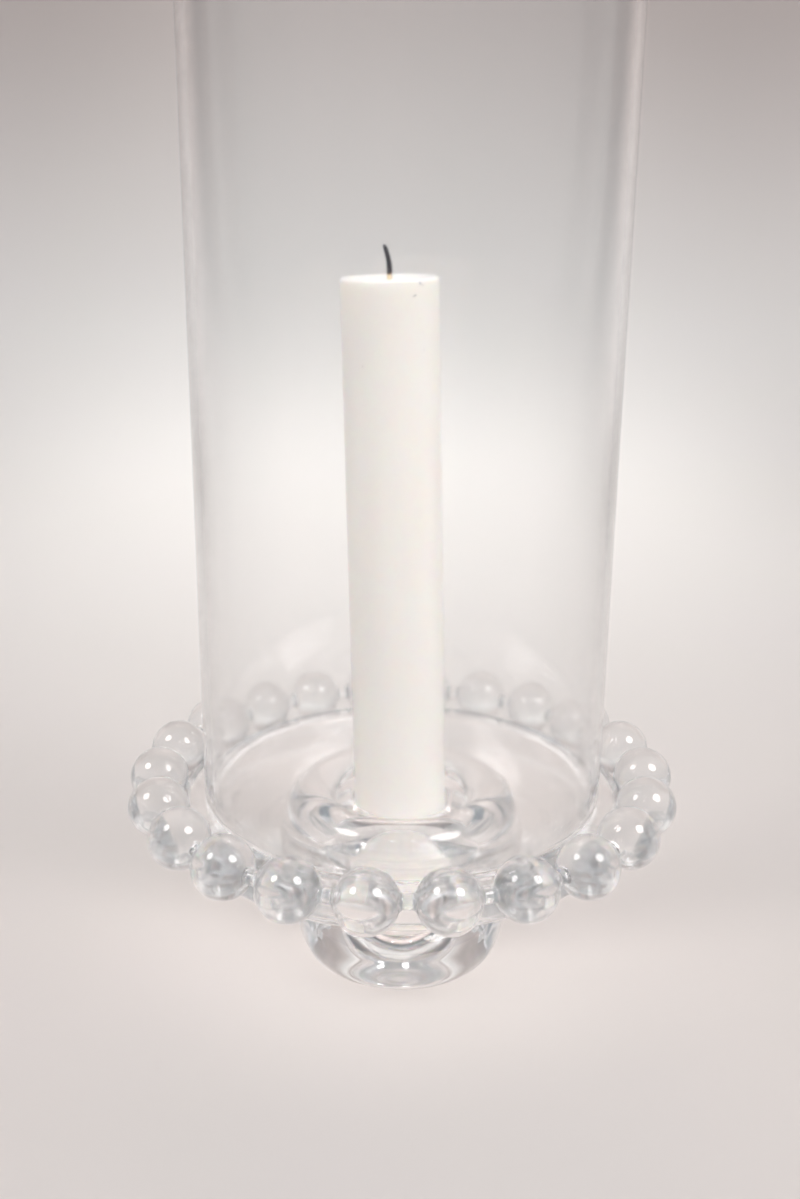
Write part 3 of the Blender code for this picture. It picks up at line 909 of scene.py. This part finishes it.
# %% Spots and small lamps
WHITE = (1.0, 1.0, 1.0)
COOL = (0.94, 1.0, 1.0)
SPOTS = (  # name, place and aim in millimetres, cone in degrees, radius in millimetres, watts, colour
    ("paper_spot", (0, 100, 1300), (0, 450, 0), 34, 150, 38, COOL),
    ("sweep_spot", (0, 300, 1500), (0, 800, 0), 38, 150, 37, COOL),
    ("wall_spot", (0, -200, 1700), (0, 1000, 1200), 50, 150, 100, WARM),
    ("left_paper_spot", (-600, 0, 1400), (-900, 800, 100), 50, 150, 45, WHITE),
    ("right_paper_spot", (600, 0, 1400), (900, 800, 100), 50, 150, 50, WHITE),
    ("front_spot", (0, -900, 1500), (0, -950, 0), 50, 150, 50, WHITE),
    ("left_fill", (-350, -850, 350), (0, 0, 70), 16, 150, 9.0, WHITE),
    ("right_fill", (350, -850, 350), (0, 0, 70), 16, 150, 7.7, WHITE),
    ("left_lamp", (-190, -900, 1100), (0, 0, 60), 20, 45, 0.8, WHITE),
    ("right_lamp", (190, -900, 1100), (0, 0, 60), 20, 45, 0.8, WHITE),
    ("left_top_lamp", (-65, -26, 1300), (0, 20, 40), 12, 40, 0.5, WHITE),
    ("right_top_lamp", (210, -79, 1290), (0, 20, 40), 12, 40, 0.5, WHITE))

for name, place, aim, angle, radius, watts, colour in SPOTS:
    spot = add_light("SPOT", name, Vector(place) * MM, Vector(aim) * MM, watts)
    spot.data.shadow_soft_size = radius * MM
    spot.data.spot_size = radians(angle)
    spot.data.spot_blend = 1.0
    spot.data.color = colour
    spot.visible_glossy = False
    spot.visible_transmission = name.endswith("lamp")
print("spots:", len(SPOTS), "with", round(sum(watts for *_, watts, colour in SPOTS)), "watts in all")

# %% [markdown]
# The room itself is a world shader: dim and bluish in front of the lamp, where the beads look, and paler at
# the back. A ramp over the direction from front to back gives its tones.

# %% Room
ROOM = (  # share of the way from front to back, and colour
    (0.0, (0.14, 0.19, 0.23)), (0.35, (0.25, 0.29, 0.32)), (0.6, (0.39, 0.40, 0.405)),
    (1.0, (0.46, 0.46, 0.455)))

world = bpy.data.worlds.new("room")
world.use_nodes = True
tree = world.node_tree
direction = add_node(tree, "ShaderNodeTexCoord").outputs["Generated"]
towards_back = add_node(tree, "ShaderNodeSeparateXYZ", {0: direction}).outputs["Y"]
ramp = add_node(tree, "ShaderNodeValToRGB", {"Fac": stretch(tree, towards_back, -1.0, 1.0)})
for share, colour in ROOM[1:-1]:
    ramp.color_ramp.elements.new(share)
for element, (share, colour) in zip(ramp.color_ramp.elements, ROOM):
    element.color = (*colour, 1.0)
fill(tree.nodes["Background"], {"Color": ramp.outputs["Color"]})
bpy.context.scene.world = world
print("room:", len(ROOM), "tones from front to back")

# %% [markdown]
# Light is caught in a bead and bounces round inside it many times before it leaves, and a path that is cut
# short there shows as a black band. So paths through glass may be very long, which costs almost no time. The
# Standard view shows the paper as pale as it is.

# %% Light paths and view
GLASS_CROSSINGS = 96
scene = bpy.context.scene
scene.cycles.max_bounces = GLASS_CROSSINGS
scene.cycles.transmission_bounces = GLASS_CROSSINGS
scene.cycles.transparent_max_bounces = GLASS_CROSSINGS
scene.cycles.glossy_bounces = GLASS_CROSSINGS
scene.cycles.caustics_refractive = True
scene.cycles.caustics_reflective = True
scene.view_settings.view_transform = "Standard"
print("light paths:", GLASS_CROSSINGS, "crossings")

# %% [markdown]
# Each piece now takes the place of its solids and rides on its body.

# %% Pieces, bodies and finishes
ROLES = (
    (holder, "holder", "holder_glass", ["foot", "dish", "candle_cup", *bead_nodes]),
    (chimney, "chimney", "chimney_glass", ["chimney"]),
    (candle, "candle", "wax", ["candle"]),
    (wick, "candle", "wick", ["wick"]),
)
for piece, body, finish, nodes in ROLES:
    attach(piece, body)
    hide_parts(*nodes)
    print(piece.name, "rides on", body, "for", len(nodes), "solids")
